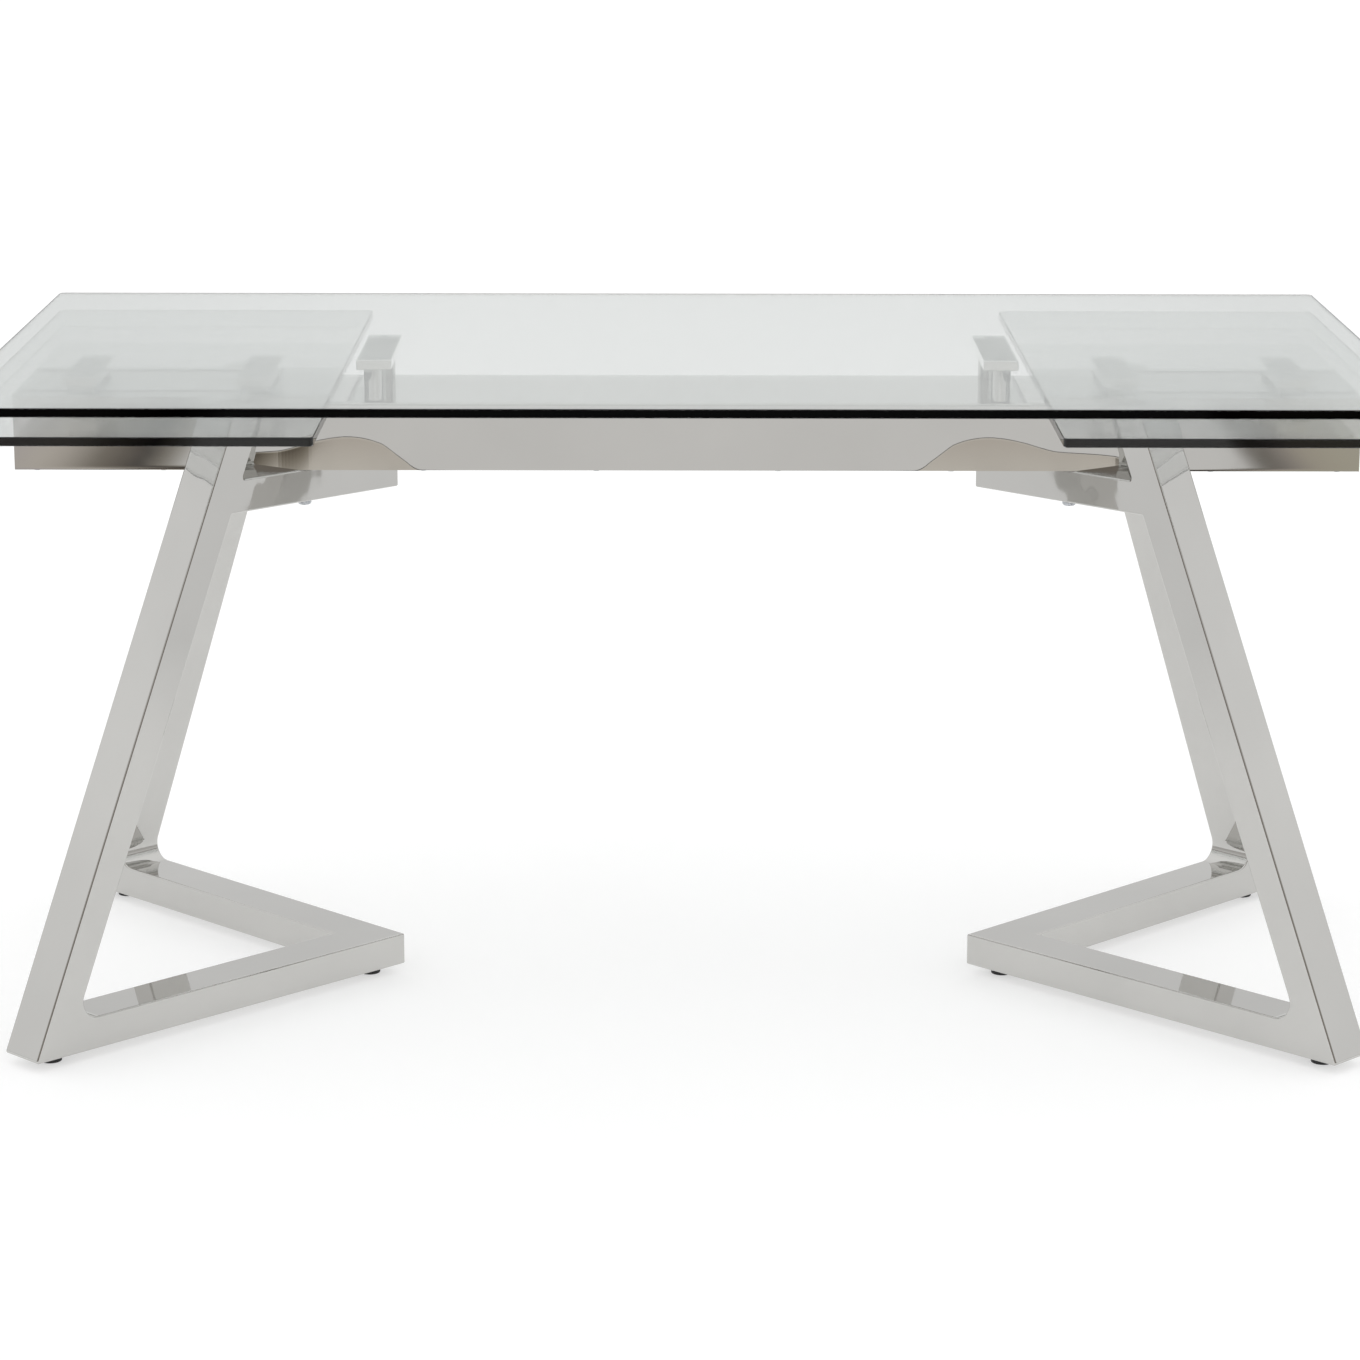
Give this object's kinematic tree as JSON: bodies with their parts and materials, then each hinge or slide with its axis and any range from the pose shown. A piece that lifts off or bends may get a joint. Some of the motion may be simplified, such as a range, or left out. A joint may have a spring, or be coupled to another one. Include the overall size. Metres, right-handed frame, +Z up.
{
  "type": "extendable dining table",
  "caption": "Clear glass dining table on folded polished steel legs, with glass leaves that slide out at both ends.",
  "frame": {"origin": "on the floor, under the middle of the glass top", "axes": "+X along the table's length, +Y across it, +Z up; the front faces -Y"},
  "size_m": [1.6, 0.9, 0.766],
  "materials": {
    "clear_glass": "clear toughened float glass, 10 mm, with polished dark green edges",
    "polished_steel": "mirror-polished stainless steel",
    "bright_satin_bar": "bright satin steel, the flat bars under the glass",
    "satin_steel": "satin steel, inside the beam and under it",
    "screw_steel": "bright zinc-plated steel",
    "black_nylon": "black moulded nylon",
    "black_rubber": "black moulded rubber"
  },
  "bodies": {
    "base": {"main_glass_top": "clear_glass", "beam_shell": "polished_steel", "beam_bottom_cover": "satin_steel", "cover_screws": "screw_steel", "post_top_screws": "screw_steel", "post_base_screws": "screw_steel", "foot_pad_screws": "screw_steel", "top_support_bar_left": "bright_satin_bar", "top_support_posts_left": "polished_steel", "beam_end_cap_left": "polished_steel", "leg_nut_plate_left": "satin_steel", "leg_bolts_left": "screw_steel", "foot_pads_left": "black_rubber", "left_front_floor_tube": "polished_steel", "left_front_upright": "polished_steel", "left_front_head_tube": "polished_steel", "left_front_guide_channel": "satin_steel", "left_front_guide_blocks": "black_nylon", "left_rear_floor_tube": "polished_steel", "left_rear_upright": "polished_steel", "left_rear_head_tube": "polished_steel", "left_rear_guide_channel": "satin_steel", "left_rear_guide_blocks": "black_nylon", "top_support_bar_right": "bright_satin_bar", "top_support_posts_right": "polished_steel", "beam_end_cap_right": "polished_steel", "leg_nut_plate_right": "satin_steel", "leg_bolts_right": "screw_steel", "foot_pads_right": "black_rubber", "right_front_floor_tube": "polished_steel", "right_front_upright": "polished_steel", "right_front_head_tube": "polished_steel", "right_front_guide_channel": "satin_steel", "right_front_guide_blocks": "black_nylon", "right_rear_floor_tube": "polished_steel", "right_rear_upright": "polished_steel", "right_rear_head_tube": "polished_steel", "right_rear_guide_channel": "satin_steel", "right_rear_guide_blocks": "black_nylon"},
    "left_leaf": {"left_leaf_glass": "clear_glass", "left_leaf_bar_inner": "bright_satin_bar", "left_leaf_bar_outer": "bright_satin_bar", "left_leaf_spacers": "satin_steel", "left_arm_plugs": "black_nylon", "left_tail_blocks": "black_nylon", "left_arm_screws": "screw_steel", "left_front_slide_arm": "satin_steel", "left_rear_slide_arm": "satin_steel"},
    "right_leaf": {"right_leaf_glass": "clear_glass", "right_leaf_bar_inner": "bright_satin_bar", "right_leaf_bar_outer": "bright_satin_bar", "right_leaf_spacers": "satin_steel", "right_arm_plugs": "black_nylon", "right_tail_blocks": "black_nylon", "right_arm_screws": "screw_steel", "right_front_slide_arm": "satin_steel", "right_rear_slide_arm": "satin_steel"}
  },
  "joints": [
    {"name": "left_leaf_slide", "type": "slide", "parent": "base", "child": "left_leaf", "axis": [-1, 0, 0], "range_m": [0, 0.4]},
    {"name": "right_leaf_slide", "type": "slide", "parent": "base", "child": "right_leaf", "axis": [1, 0, 0], "range_m": [0, 0.4]}
  ]
}
